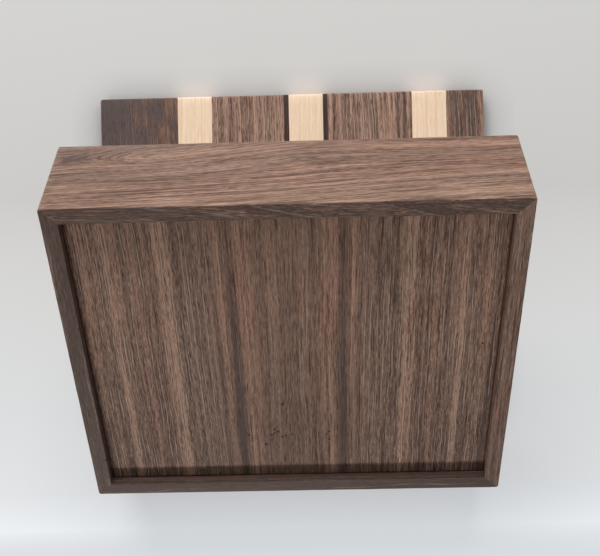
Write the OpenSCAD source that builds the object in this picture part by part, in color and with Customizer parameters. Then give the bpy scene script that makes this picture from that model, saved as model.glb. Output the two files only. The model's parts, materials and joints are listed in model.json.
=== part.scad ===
// Keepsake box for papers: four mitred walnut walls, a bottom panel held in grooves, and a lid glued up
// from walnut, maple and thin dark strips, swinging on two brass hinges that stop it when it is open.
// The box stands on its walls' lower edges with its middle on the origin. The front is -Y, the hinges +Y.
// It is drawn with the lid part open.

/* [Box] */
// Width of the box, left to right
box_w = 305; // [270:1:360]
// Depth of the box, front to back
box_d = 260; // [200:1:320]
// Height of the walls
box_h = 76; // [50:1:120]
// Thickness of the walls
wall_t = 11; // [10:0.5:16]
// Radius of the eased long edges of the walls
wall_ease = 0.8; // [0.5:0.1:2.5]
// Radius of the box's four upright corners
corner_ease = 2; // [0.5:0.1:4]

/* [Bottom panel] */
// Height of the panel's underside above the walls' lower edges
recess = 7; // [3:0.5:12]
// Thickness of the panel
panel_t = 6; // [4:0.5:9]
// Depth of the groove that holds the panel
groove_depth = 5; // [3:0.5:6]
// Room for the panel to swell at each edge
panel_gap = 0.6; // [0.4:0.1:1.5]
// Play of the panel in the groove's height
panel_play = 0.2; // [0.1:0.05:0.4]

/* [Lid] */
// Thickness of the lid
lid_t = 15; // [13:0.5:20]
// How far the lid passes each side wall
side_overhang = 5; // [2:0.5:12]
// How far the lid passes the front wall
front_overhang = 8; // [3:0.5:16]
// Gap between the closed lid and the walls
lid_gap = 0.4; // [0.3:0.1:0.8]
// Radius of the eased edges of the lid
lid_ease = 1.5; // [0.5:0.1:2.5]
// Angle at which the lid is drawn, 0 when closed
lid_angle = 41; // [0:1:90]

/* [Lid strips] */
// Width of the first walnut strip, from the left
first_walnut_w = 64; // [50:1:80]
// Width of the second walnut strip
second_walnut_w = 59.5; // [45:0.5:75]
// Width of the fourth walnut strip, at the right
fourth_walnut_w = 30.5; // [20:0.5:50]
// Width of each maple strip
maple_w = 28; // [20:1:34]
// Width of each thin dark strip
accent_w = 4; // [2:0.5:8]

/* [Hinges] */
// Length of a hinge
hinge_len = 38; // [32:1:50]
// From the side of the box to the middle of a hinge
hinge_inset = 56.5; // [40:0.5:80]
// Width of a leaf let into the wood
leaf_w = 8; // [7.5:0.5:9]
// Thickness of a leaf
leaf_t = 2.7; // [2.2:0.1:3.2]
// Diameter of the knuckles
barrel_d = 5.5; // [4.6:0.1:6]
// Diameter of the hinge pin
pin_d = 2.5; // [1.8:0.1:3]
// How far the pin stands behind the back wall
pin_out = 1; // [0.6:0.1:2]
// Number of knuckles
knuckles = 5; // [3:2:7]
// Length of the stop at each end of a hinge
stop_len = 5; // [3:0.5:7]
// Angle at which the hinges stop the lid
stop_angle = 95; // [92:1:110]

/* [Hinge screws] */
// Number of screws in a leaf
screws = 3; // [2:1:4]
// From one screw to the next
screw_pitch = 13; // [8:0.5:14]
// Diameter of the shank
screw_d = 2.5; // [2:0.1:3]
// Diameter of the head
head_d = 5; // [4.2:0.1:5.6]
// Length of a screw
screw_len = 11; // [8:0.5:12]

/* [Clearances] */
// Running clearance round the pin
pin_clear = 0.05; // [0.02:0.01:0.09]
// Gap between one knuckle and the next
knuckle_gap = 0.2; // [0.1:0.05:0.4]
// Gap round a knuckle where it turns
turn_gap = 0.3; // [0.2:0.05:0.5]
// Gap round a leaf in its pocket
pocket_gap = 0.1; // [0.05:0.05:0.3]
// Gap round a screw
screw_gap = 0.1; // [0.05:0.05:0.2]
// Angle left between the stops when the lid is fully open
stop_play = 0.5; // [0.2:0.1:1]

/* [Hidden] */
$fn = 48;

walnut = "#76594a";
maple = "#ecd0b0";
dark_wood = "#2e2420";
brass = "#b8964e";

// A cut that opens at a surface starts this far outside it
over = 1;

// The lid, closed
lid_w = box_w + 2 * side_overhang;
lid_d = box_d + front_overhang;
lid_under = box_h + lid_gap;
lid_middle = box_d / 2 - lid_d / 2;
third_walnut_w = lid_w - first_walnut_w - second_walnut_w - fourth_walnut_w - 3 * maple_w - 2 * accent_w;
strip_w = [
    first_walnut_w, maple_w, second_walnut_w, accent_w, maple_w,
    accent_w, third_walnut_w, maple_w, fourth_walnut_w
];
function strip_start(i) = i == 0 ? -lid_w / 2 : strip_start(i - 1) + strip_w[i - 1];

// The hinges turn about a line behind the back wall, halfway up the gap under the lid
axis_y = box_d / 2 + pin_out;
axis_z = box_h + lid_gap / 2;
hinge_x = box_w / 2 - hinge_inset;
leaf_top = -lid_gap / 2;
leaf_floor = leaf_top - leaf_t;
leaf_front = -pin_out - leaf_w;
stop_slope = (stop_angle + stop_play) / 2;
barrel_len = hinge_len - 2 * stop_len;
knuckle_len = barrel_len / knuckles;
screw_y = (leaf_front - barrel_d / 2 - turn_gap) / 2;
head_h = (head_d - screw_d) / 2;
tip_h = screw_d;
slot_w = screw_d / 4;

// Rectangle with its corners rounded
module eased_rect(w, h, r) {
    square([w - 2 * r, h], center = true);
    square([w, h - 2 * r], center = true);
    for (x = [-1, 1], y = [-1, 1])
        translate([x * (w / 2 - r), y * (h / 2 - r)]) circle(r = r);
}

// A profile drawn in Y and Z, run along X between two places
module along_x(from, to) {
    translate([from, 0, 0]) rotate([90, 0, 90]) linear_extrude(to - from) children();
}

// Turns what is drawn on the closed lid to where the lid is
module opened() {
    translate([0, axis_y, axis_z])
        rotate([-lid_angle, 0, 0])
            translate([0, -axis_y, -axis_z]) children();
}

// Puts a hinge part at each hinge
module at_hinge(side) {
    translate([side * hinge_x, axis_y, axis_z]) children();
}

// Board of one side, outer face at -Y, both ends mitred, with the panel's groove along its inner face
module wall(len, across) {
    intersection() {
        along_x(-len / 2, len / 2)
            translate([-across / 2, 0]) difference() {
                translate([wall_t / 2, box_h / 2]) eased_rect(wall_t, box_h, wall_ease);
                translate([wall_t - groove_depth, recess]) square([groove_depth + over, panel_t + panel_play]);
            }
        linear_extrude(box_h)
            translate([0, -across / 2])
                polygon([
                    [-len / 2, 0], [len / 2, 0],
                    [len / 2 - wall_t, wall_t], [-len / 2 + wall_t, wall_t]
                ]);
        linear_extrude(box_h) eased_rect(len, across, corner_ease);
    }
}

// Wood cut away for a box leaf: its pocket, the hollow under the knuckles and the screws' holes
module leaf_pocket() {
    half = hinge_len / 2 + pocket_gap;
    along_x(-half, half) {
        translate([leaf_front - pocket_gap, leaf_floor])
            square([leaf_w + pocket_gap + pin_out, leaf_t + lid_gap + over]);
        circle(d = barrel_d + 2 * turn_gap);
    }
    for (i = [0 : screws - 1])
        translate([screw_x(i), screw_y, leaf_top - screw_len - screw_gap])
            cylinder(h = screw_len, d = screw_d + 2 * screw_gap);
}

function screw_x(i) = (i - (screws - 1) / 2) * screw_pitch;
function knuckle_x(k) = -barrel_len / 2 + k * knuckle_len;

// Leaf that lies under the gap: plate, stops at both ends, and every second knuckle from the given one
module leaf(first) {
    reach = -leaf_floor / tan(stop_slope);
    difference() {
        union() {
            along_x(-hinge_len / 2, hinge_len / 2)
                translate([leaf_front, leaf_floor]) square([-leaf_front, leaf_t]);
            for (end = [-1, 1])
                translate([end * (hinge_len - stop_len) / 2, 0, 0])
                    along_x(-stop_len / 2, stop_len / 2)
                        polygon([
                            [leaf_front, leaf_top], [-leaf_top / tan(stop_slope), leaf_top],
                            [reach, leaf_floor], [leaf_front, leaf_floor]
                        ]);
            for (k = [first : 2 : knuckles - 1])
                along_x(knuckle_x(k) + knuckle_gap / 2, knuckle_x(k + 1) - knuckle_gap / 2)
                    circle(d = barrel_d);
        }
        for (k = [1 - first : 2 : knuckles - 1])
            along_x(knuckle_x(k) - knuckle_gap / 2, knuckle_x(k + 1) + knuckle_gap / 2)
                circle(d = barrel_d + 2 * turn_gap);
        along_x(-barrel_len / 2, barrel_len / 2) circle(d = pin_d + 2 * pin_clear);
        for (end = [-1, 1])
            translate([end * hinge_len / 2, 0, 0])
                along_x(-stop_len, stop_len) circle(d = pin_d + 2 * turn_gap);
        for (i = [0 : screws - 1])
            translate([screw_x(i), screw_y, leaf_top]) screw_hole();
    }
}

// Countersunk hole through a leaf
module screw_hole() {
    translate([0, 0, -leaf_t - over]) cylinder(h = leaf_t + 2 * over, d = screw_d + 2 * screw_gap);
    translate([0, 0, -head_h])
        cylinder(h = head_h, d1 = screw_d + 2 * screw_gap, d2 = head_d + 2 * screw_gap);
}

// Countersunk wood screw with a slotted head, its top at the origin
module screw() {
    difference() {
        union() {
            translate([0, 0, -head_h]) cylinder(h = head_h, d1 = screw_d, d2 = head_d);
            translate([0, 0, tip_h - screw_len]) cylinder(h = screw_len - tip_h - head_h, d = screw_d);
            translate([0, 0, -screw_len]) cylinder(h = tip_h, d1 = 0, d2 = screw_d);
        }
        translate([-head_d / 2 - over, -slot_w / 2, -head_h / 2]) cube([head_d + 2 * over, slot_w, head_h]);
    }
}

module leaf_screws() {
    for (side = [-1, 1], i = [0 : screws - 1])
        at_hinge(side) translate([screw_x(i), screw_y, leaf_top]) screw();
}

// Swaps a part between under the gap and over it, for the lid's half of a hinge
module for_lid() {
    translate([0, 0, 2 * axis_z]) mirror([0, 0, 1]) children();
}

// The closed lid as one board, edges eased all round
module lid_board() {
    translate([0, lid_middle, lid_under + lid_t / 2])
        intersection() {
            along_x(-lid_w / 2, lid_w / 2) eased_rect(lid_d, lid_t, lid_ease);
            rotate([0, 0, 90]) along_x(-lid_d / 2, lid_d / 2) eased_rect(lid_w, lid_t, lid_ease);
            translate([0, 0, -lid_t / 2]) linear_extrude(lid_t) eased_rect(lid_w, lid_d, lid_ease);
        }
}

// One strip of the lid, cut where the hinges are let in
module lid_strip(i) {
    opened()
        difference() {
            intersection() {
                lid_board();
                translate([strip_start(i), lid_middle - lid_d / 2, lid_under])
                    cube([strip_w[i], lid_d, lid_t]);
            }
            for_lid() for (side = [-1, 1]) at_hinge(side) leaf_pocket();
        }
}

module front_wall() {
    color(walnut) wall(box_w, box_d);
}

module back_wall() {
    color(walnut) difference() {
        rotate([0, 0, 180]) wall(box_w, box_d);
        for (side = [-1, 1]) at_hinge(side) leaf_pocket();
    }
}

module left_wall() {
    color(walnut) rotate([0, 0, -90]) wall(box_d, box_w);
}

module right_wall() {
    color(walnut) rotate([0, 0, 90]) wall(box_d, box_w);
}

module bottom_panel() {
    inset = wall_t - groove_depth + panel_gap;
    color(walnut)
        translate([inset - box_w / 2, inset - box_d / 2, recess])
            cube([box_w - 2 * inset, box_d - 2 * inset, panel_t]);
}

module lid_walnut_1() {
    color(walnut) lid_strip(0);
}

module lid_maple_1() {
    color(maple) lid_strip(1);
}

module lid_walnut_2() {
    color(walnut) lid_strip(2);
}

module lid_accent_1() {
    color(dark_wood) lid_strip(3);
}

module lid_maple_2() {
    color(maple) lid_strip(4);
}

module lid_accent_2() {
    color(dark_wood) lid_strip(5);
}

module lid_walnut_3() {
    color(walnut) lid_strip(6);
}

module lid_maple_3() {
    color(maple) lid_strip(7);
}

module lid_walnut_4() {
    color(walnut) lid_strip(8);
}

module hinge_box_leaf(side) {
    color(brass) at_hinge(side) leaf(0);
}

module hinge_lid_leaf(side) {
    color(brass) opened() for_lid() at_hinge(side) leaf(1);
}

module hinge_pin(side) {
    color(brass) at_hinge(side) along_x(-hinge_len / 2, hinge_len / 2) circle(d = pin_d);
}

module box_leaf_screws() {
    color(brass) leaf_screws();
}

module lid_leaf_screws() {
    color(brass) opened() for_lid() leaf_screws();
}

front_wall();
back_wall();
left_wall();
right_wall();
bottom_panel();
lid_walnut_1();
lid_maple_1();
lid_walnut_2();
lid_accent_1();
lid_maple_2();
lid_accent_2();
lid_walnut_3();
lid_maple_3();
lid_walnut_4();
hinge_box_leaf(-1);  // left_hinge_box_leaf
hinge_lid_leaf(-1);  // left_hinge_lid_leaf
hinge_pin(-1);  // left_hinge_pin
hinge_box_leaf(1);  // right_hinge_box_leaf
hinge_lid_leaf(1);  // right_hinge_lid_leaf
hinge_pin(1);  // right_hinge_pin
box_leaf_screws();
lid_leaf_screws();
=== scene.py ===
"""Looks of the keepsake box: oiled walnut walls, a book-matched walnut panel, a lid of walnut, maple and
dark strips, and brass hinges, built round the fixed frame and lit as on a photographer's table."""

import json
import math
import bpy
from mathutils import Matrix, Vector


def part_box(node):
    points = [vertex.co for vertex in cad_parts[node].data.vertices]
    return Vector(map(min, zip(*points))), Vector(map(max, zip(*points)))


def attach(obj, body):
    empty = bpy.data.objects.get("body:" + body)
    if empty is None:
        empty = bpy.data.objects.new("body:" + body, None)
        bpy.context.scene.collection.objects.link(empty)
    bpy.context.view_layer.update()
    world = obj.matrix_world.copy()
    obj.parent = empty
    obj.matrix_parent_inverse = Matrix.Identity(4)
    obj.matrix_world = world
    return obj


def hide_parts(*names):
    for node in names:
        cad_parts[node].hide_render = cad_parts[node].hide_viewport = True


bl_info = {
    "name": "Keepsake Box",
    "version": (1, 0, 0),
    "blender": (4, 5, 0),
    "location": "View3D > Sidebar > Keepsake Box",
    "description": "Models and finishes a walnut keepsake box with a striped lid",
    "category": "Object",
}

import bmesh
import bpy
from mathutils import Matrix, Vector

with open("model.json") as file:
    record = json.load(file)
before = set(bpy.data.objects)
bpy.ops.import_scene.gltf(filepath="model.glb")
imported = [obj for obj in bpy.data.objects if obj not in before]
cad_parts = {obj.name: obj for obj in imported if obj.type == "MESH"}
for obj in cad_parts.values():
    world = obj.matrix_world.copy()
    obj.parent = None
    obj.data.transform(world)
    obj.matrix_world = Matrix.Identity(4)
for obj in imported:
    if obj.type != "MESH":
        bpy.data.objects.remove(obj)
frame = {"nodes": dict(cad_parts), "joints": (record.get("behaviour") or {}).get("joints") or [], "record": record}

# Width and height of the photograph in pixels, and width of the camera's sensor in millimetres
IMAGE_W, IMAGE_H, SENSOR_W = 600, 556, 36.0
LID_JOINT = frame["joints"][0]
LID_ANGLE = math.radians(-LID_JOINT["range_deg"][0])
HINGE = Vector(LID_JOINT["pos_m"])
# Carries a place or a shape over to the other side of the closed hinge
MIRROR = Matrix.Translation(HINGE) @ Matrix.Diagonal((1.0, 1.0, -1.0, 1.0)) @ Matrix.Translation(-HINGE)
BOX_LEAVES = ("left_hinge_box_leaf", "right_hinge_box_leaf")
INNER_X = -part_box("left_wall")[1].x
INNER_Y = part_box("back_wall")[0].y
BODY_OF = {node: body for body, nodes in frame["record"]["behaviour"]["bodies"].items() for node in nodes}
MM = 1000.0
WHITE = (1.0, 1.0, 1.0)


def colour_property(name, description, default):
    return bpy.props.FloatVectorProperty(
        name=name, description=description, default=default, size=3, subtype="COLOR", min=0, max=1
    )


def number_property(name, description, default, subtype="NONE", unit="NONE"):
    return bpy.props.FloatProperty(
        name=name, description=description, default=default, subtype=subtype, unit=unit
    )


def length_property(name, description, default):
    return number_property(name, description, default, "DISTANCE", "LENGTH")


class KeepsakeWalnut(bpy.types.PropertyGroup):
    """Colours of the oiled walnut, from the dark lines to the light ones"""

    dark: colour_property("Dark lines", "Latewood lines", (0.070, 0.038, 0.025))
    middle: colour_property("Ground", "Colour between the lines", (0.235, 0.143, 0.1085))
    light: colour_property("Light lines", "Pale streaks", (0.480, 0.318, 0.240))
    slate: colour_property("Slate tint", "Cool tint of the dark bands", (0.110, 0.083, 0.078))
    hair: colour_property("Hairs", "Thin pale lines along the grain", (0.385, 0.30, 0.25))
    pore: colour_property("Pores", "Open pores along the grain", (0.045, 0.022, 0.014))
    stain: colour_property("Stain", "Old red stain on the front wall's lower edge", (0.16, 0.035, 0.03))
    rose_tint: colour_property("Rose tint", "Tints the light bands", (0.995, 0.95, 0.925))
    tan_tint: colour_property("Tan tint", "Tints the other bands", (0.965, 0.98, 0.965))


class KeepsakePale(bpy.types.PropertyGroup):
    """Colours of the maple, the thin dark strips and the brass"""

    maple: colour_property("Maple", "Ground of the maple", (0.985, 0.755, 0.55))
    maple_line: colour_property("Maple lines", "Growth lines of the maple", (0.68, 0.46, 0.30))
    dark_wood: colour_property("Dark strips", "Ground of the thin dark strips", (0.046, 0.029, 0.023))
    brass: colour_property("Brass", "Colour of the hinges", (0.72, 0.52, 0.24))


class KeepsakeSizes(bpy.types.PropertyGroup):
    """Small sizes of the boards and fittings, which the frame's boxes don't give"""

    wall_ease: length_property("Wall ease", "Radius of the walls' long edges", 0.0008)
    corner_ease: length_property("Corner ease", "Radius of the upright corners", 0.0017)
    joint_gap: length_property("Joint gap", "Half the hairline gap in a mitre", 0.00004)
    lid_ease: length_property("Lid ease", "Radius of the lid's edges", 0.0017)
    glue_ease: length_property("Glue line ease", "Radius of a strip's edges at its glue lines", 0.0001)
    wear: length_property("Wear", "How unevenly the edges are worn", 0.00012)
    wear_step: length_property("Wear step", "From one place of wear to the next", 0.007)
    panel_gap: length_property("Panel gap", "Room for the panel to swell", 0.0006)
    panel_play: length_property("Panel play", "Play of the panel in its groove's height", 0.0002)
    pocket_gap: length_property("Pocket gap", "Gap round a hinge leaf in its pocket", 0.0001)
    turn_gap: length_property("Turn gap", "Gap round a knuckle where it turns", 0.0003)
    barrel: length_property("Barrel", "Diameter of the knuckles", 0.0055)
    shank: length_property("Shank", "Diameter of a screw's shank", 0.0025)
    screw_gap: length_property("Screw gap", "Gap round a screw", 0.0001)
    brass_ease: length_property("Brass ease", "Radius of the brass parts' edges", 0.00012)


class KeepsakeView(bpy.types.PropertyGroup):
    """Camera of the photograph"""

    focal_px: number_property("Focal length", "In pixels of the image", 1072.66, "PIXEL")
    axis_x_px: number_property("Axis X", "Optical axis from the left, in pixels", 290.0, "PIXEL")
    axis_y_px: number_property("Axis Y", "Optical axis from the top, in pixels", 338.0, "PIXEL")
    place: bpy.props.FloatVectorProperty(
        name="Place",
        description="Place of the camera",
        default=(0.01737, -0.48889, -0.54993),
        subtype="TRANSLATION",
    )
    turn: bpy.props.FloatVectorProperty(
        name="Turn",
        description="Turn of the camera about X, Y and Z",
        default=tuple(math.radians(angle) for angle in (139.722, -0.324, 1.865)),
        subtype="EULER",
    )


class KeepsakeStage(bpy.types.PropertyGroup):
    """Table, floor and light"""

    table: colour_property("Table", "Colour of the pale table", (0.705, 0.70, 0.685))
    studio: colour_property("Studio", "Colour far behind the object", (0.70, 0.70, 0.695))
    reach: length_property("Reach", "Size of the table and of the floor", 8.0)
    ambient: number_property("Ambient", "Strength of the light all round", 0.26)
    top_lamp: number_property("Top lamp", "Power over the front wall", 88.0, unit="POWER")
    low_lamp: number_property("Low lamp", "Power of the window by the hinges", 166.0, unit="POWER")
    upper_lamp: number_property("Upper lamp", "Power over the open lid", 48.0, unit="POWER")
    side_lamps: number_property("Side lamps", "Power of each lamp at the sides", 30.0, unit="POWER")


def colours():
    """Colours of the walnut, and those of the maple, the dark strips and the brass."""
    return bpy.context.scene.keepsake_walnut, bpy.context.scene.keepsake_pale


def new_node(tree, kind, inputs=None, **fields):
    """Adds a shader node, with sockets linked to other sockets or set to values."""
    node = tree.nodes.new(kind)
    for name, value in fields.items():
        setattr(node, name, value)
    for name, value in (inputs or {}).items():
        feed(tree, node.inputs[name], value)
    return node


def feed(tree, socket, value):
    """Links a socket to another one, or sets its value."""
    if isinstance(value, bpy.types.NodeSocket):
        tree.links.new(value, socket)
    else:
        socket.default_value = value


def calc(tree, operation, *values):
    node = new_node(tree, "ShaderNodeMath", operation=operation)
    for socket, value in zip(node.inputs, values):
        feed(tree, socket, value)
    return node.outputs[0]


def times(tree, first, second):
    return calc(tree, "MULTIPLY", first, second)


def plus(tree, first, second):
    return calc(tree, "ADD", first, second)


def minus(tree, first, second):
    return calc(tree, "SUBTRACT", first, second)


def remap(tree, value, low, high, to_low=0.0, to_high=1.0, smooth=False):
    """Carries the range from low to high over to another range, and stops at its ends."""
    node = new_node(tree, "ShaderNodeMapRange", interpolation_type="SMOOTHSTEP" if smooth else "LINEAR")
    for socket, number in zip(node.inputs, (value, low, high, to_low, to_high)):
        feed(tree, socket, number)
    return node.outputs[0]


def blend_colour(tree, share, first, second, kind="MIX"):
    node = new_node(tree, "ShaderNodeMix", data_type="RGBA", blend_type=kind)
    feed(tree, node.inputs[0], share)
    for socket, value in zip((node.inputs[6], node.inputs[7]), (first, second)):
        feed(tree, socket, value if isinstance(value, bpy.types.NodeSocket) else (*value, 1))
    return node.outputs[2]


def ramp(tree, value, stops, smooth="EASE"):
    """Colour ramp from (place, grey) or (place, colour) pairs."""
    node = new_node(tree, "ShaderNodeValToRGB", {"Fac": value})
    elements = node.color_ramp.elements
    node.color_ramp.interpolation = smooth
    while len(elements) < len(stops):
        elements.new(1.0)
    for element, (place, shade) in zip(elements, stops):
        element.position = place
        element.color = (*shade, 1) if hasattr(shade, "__len__") else (shade, shade, shade, 1)
    return node.outputs["Color"]


def join_xyz(tree, x, y, z):
    node = new_node(tree, "ShaderNodeCombineXYZ")
    for socket, value in zip(node.inputs, (x, y, z)):
        feed(tree, socket, value)
    return node.outputs[0]


def object_place(tree):
    return tree.nodes.new("ShaderNodeTexCoord").outputs["Object"]


def split_xyz(tree, vector):
    return new_node(tree, "ShaderNodeSeparateXYZ", {"Vector": vector}).outputs


def stretch(tree, x, y, z, *cell):
    """Coordinates in cells of the given sizes."""
    return join_xyz(tree, *(calc(tree, "DIVIDE", value, size) for value, size in zip((x, y, z), cell)))


def noise(tree, vector, detail=0.0, roughness=0.5):
    inputs = {"Vector": vector, "Scale": 1.0, "Detail": detail, "Roughness": roughness}
    return new_node(tree, "ShaderNodeTexNoise", inputs).outputs["Fac"]


def sway(tree, value, amount):
    """Noise as a swing of about plus or minus the amount, as it seldom strays a quarter from its middle."""
    return times(tree, minus(tree, value, 0.5), times(tree, amount, 4.0))


def spread(tree, value, amount, total):
    """Adds a noise, as a departure from its middle, to a total."""
    return calc(tree, "MULTIPLY_ADD", minus(tree, value, 0.5), amount, total)


def square(tree, value):
    return times(tree, value, value)


def bell(tree, value, middle, width):
    """1 at the middle, falling off on both sides."""
    offset = calc(tree, "DIVIDE", minus(tree, value, middle), width)
    return calc(tree, "EXPONENT", times(tree, square(tree, offset), -1.0))


def graded(tree, value, reach, stops):
    """Tone, between -0.5 and 0.5, that runs through the stops from 0 to the reach."""
    places = [(place / reach, 0.5 + tone) for place, tone in stops]
    return minus(tree, ramp(tree, calc(tree, "DIVIDE", value, reach), places), 0.5)


def new_group(name, inputs, outputs):
    """Empty node group with float or vector inputs and outputs; returns the tree and its input sockets."""
    tree = bpy.data.node_groups.new(name, "ShaderNodeTree")
    for socket_name, value in inputs.items():
        kind = "NodeSocketVector" if value is None else "NodeSocketFloat"
        socket = tree.interface.new_socket(socket_name, in_out="INPUT", socket_type=kind)
        if value is not None:
            socket.default_value = value
    for socket_name in outputs:
        tree.interface.new_socket(socket_name, in_out="OUTPUT", socket_type="NodeSocketFloat")
    return tree, tree.nodes.new("NodeGroupInput").outputs


def end_group(tree, **values):
    end = tree.nodes.new("NodeGroupOutput")
    for name, value in values.items():
        feed(tree, end.inputs[name], value)


def use_group(tree, name, inputs):
    node = tree.nodes.new("ShaderNodeGroup")
    node.node_tree = bpy.data.node_groups[name]
    for socket_name, value in inputs.items():
        feed(tree, node.inputs[socket_name], value)
    return node.outputs


# Inputs of the grain: sizes in millimetres, a seed, a tilt and the share of the cells that hold a pore
GRAIN_INPUTS = {
    "Vector": None, "Seed": 0.0, "Wander": 3.0, "Curl": 0.5, "Curl length": 13.0, "Ring tilt": 0.4,
    "Band width": 16.0, "Line width": 3.2, "Streak width": 1.1, "Streak length": 45.0,
    "Hair gap": 5.0, "Hair width": 0.4, "Fibre width": 1.1, "Fibre length": 40.0,
    "Pore width": 0.55, "Pore length": 7.0, "Pore share": 0.35,
}
GRAIN_MASKS = ("Bands", "Lines", "Streaks", "Hairs", "Cracks", "Fibres", "Grit", "Pores", "Blush", "Flow")
# How far apart two seeds lie: in the noises' third direction, along the board and, again, in the hairs
SEED_STEP, SEED_SHIFT, SEED_HAIRS = 7.3, 631.0, 1.37
# Sizes, in millimetres, of what is the same in every board: across it, along its fibres and through it
DRIFT_CELL, BLUSH_CELL, STRAND_CELL = (80.0, 130.0, 80.0), (24.0, 500.0, 1.0), (9.0, 55.0, 1.0)
FADE_CELL, BREAK_CELL, GRIT_CELL = (5.0, 44.0, 1.0), (1.5, 11.0, 1.0), (0.65, 7.0, 0.65)
CURL_WIDTH, BAND_LENGTH, LINE_LENGTH = 7.0, 900.0, 260.0


def make_grain_group():
    """Grain of a board in millimetres: X across it, Y along the fibres, Z through its thickness."""
    tree, given = new_group("Wood grain", GRAIN_INPUTS, GRAIN_MASKS)
    x, y, z = split_xyz(tree, given["Vector"])
    seed = times(tree, given["Seed"], SEED_STEP)
    y = calc(tree, "MULTIPLY_ADD", given["Seed"], SEED_SHIFT, y)

    def field(across, through, cell, detail=1.0, roughness=0.5):
        return noise(tree, stretch(tree, across, y, through, *cell), detail, roughness)

    def slim(kind):
        return given[kind + " width"], given[kind + " length"], given[kind + " width"]

    across = calc(tree, "MULTIPLY_ADD", z, given["Ring tilt"], x)
    flow = plus(tree, across, sway(tree, field(x, z, DRIFT_CELL, detail=0.0), given["Wander"]))
    quick = field(x, z, (CURL_WIDTH, given["Curl length"], CURL_WIDTH))
    across = plus(tree, flow, sway(tree, quick, given["Curl"]))
    lines = field(across, seed, (given["Line width"], LINE_LENGTH, 1.0))
    # hairs run along the borders between cells of one dimension, each with a dark crack on both sides
    strand = plus(tree, across, sway(tree, field(x, seed, STRAND_CELL, detail=0.0), 0.6))
    strand = calc(tree, "DIVIDE", strand, given["Hair gap"])
    strand = plus(tree, strand, times(tree, seed, SEED_HAIRS))
    kind = {"voronoi_dimensions": "1D", "feature": "DISTANCE_TO_EDGE"}
    border = new_node(tree, "ShaderNodeTexVoronoi", {"W": strand, "Scale": 1.0}, **kind).outputs["Distance"]
    reach = calc(tree, "DIVIDE", times(tree, border, given["Hair gap"]), given["Hair width"])
    beside = calc(tree, "ABSOLUTE", minus(tree, reach, 2.0))
    fade = remap(tree, field(across, seed, FADE_CELL, detail=0.0), 0.44, 0.58, smooth=True)
    fade = times(tree, fade, remap(tree, field(across, seed, BREAK_CELL), 0.36, 0.54, 0.3, 1.0))
    spots = {"Vector": stretch(tree, across, y, z, *slim("Pore")), "Scale": 1.0}
    spots = new_node(tree, "ShaderNodeTexVoronoi", spots).outputs
    picked = new_node(tree, "ShaderNodeSeparateColor", {"Color": spots["Color"]}).outputs[0]
    crowd = times(tree, given["Pore share"], remap(tree, lines, 0.62, 0.38, 0.4, 1.8))
    inside = remap(tree, spots["Distance"], 0.45, 0.2, smooth=True)
    end_group(
        tree, Flow=flow, Lines=lines,
        Bands=field(across, seed, (given["Band width"], BAND_LENGTH, 1.0)),
        Streaks=remap(tree, field(across, z, slim("Streak")), 0.44, 0.30, smooth=True),
        Hairs=times(tree, remap(tree, reach, 1.3, 0.3), fade),
        Cracks=times(tree, remap(tree, beside, 0.9, 0.2), fade),
        Fibres=field(across, z, slim("Fibre"), detail=2.0, roughness=1.0),
        Grit=field(across, z, GRIT_CELL, roughness=1.0),
        Pores=times(tree, inside, calc(tree, "LESS_THAN", picked, crowd)),
        Blush=field(across, seed, BLUSH_CELL, detail=0.0),
    )


def new_material(name, roughness, specular=0.5):
    """Material with one Principled shader; returns its tree and the shader."""
    material = bpy.data.materials.new(name)
    material.use_nodes = True
    tree = material.node_tree
    tree.nodes.clear()
    inputs = {"Roughness": roughness, "Specular IOR Level": specular}
    shader = new_node(tree, "ShaderNodeBsdfPrincipled", inputs)
    end = tree.nodes.new("ShaderNodeOutputMaterial")
    tree.links.new(shader.outputs["BSDF"], end.inputs["Surface"])
    return material, tree, shader


def board_turn(across, along):
    """Turn of a board whose width and fibres run along the two directions."""
    across, along = Vector(across), Vector(along)
    return Matrix((across, along, across.cross(along))).transposed().to_euler()


def board_vector(tree, turn, start):
    """Object coordinates in millimetres from a board's own corner, turned so that Y runs along its grain."""
    inputs = {"Vector": object_place(tree), "Location": start, "Rotation": turn}
    moved = new_node(tree, "ShaderNodeMapping", inputs, vector_type="TEXTURE").outputs[0]
    return new_node(tree, "ShaderNodeVectorMath", {0: moved, "Scale": MM}, operation="SCALE").outputs[0]


def add_relief(tree, shader, height, strength, depth):
    bump = new_node(tree, "ShaderNodeBump", {"Height": height, "Strength": strength, "Distance": depth})
    feed(tree, shader.inputs["Normal"], bump.outputs["Normal"])


# Roughness of the oiled walnut, its gloss, and the depth of its pores in metres
WALNUT_ROUGHNESS, WALNUT_SPECULAR, WALNUT_RELIEF = 0.64, 0.12, 0.00008
# Tones between which the dark bands turn to slate, and the light ones to rose by a share
COOL_FROM, COOL_TO, WARM_FROM, WARM_TO, ROSE_SHARE = 0.40, 0.16, 0.46, 0.70, 0.8


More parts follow.
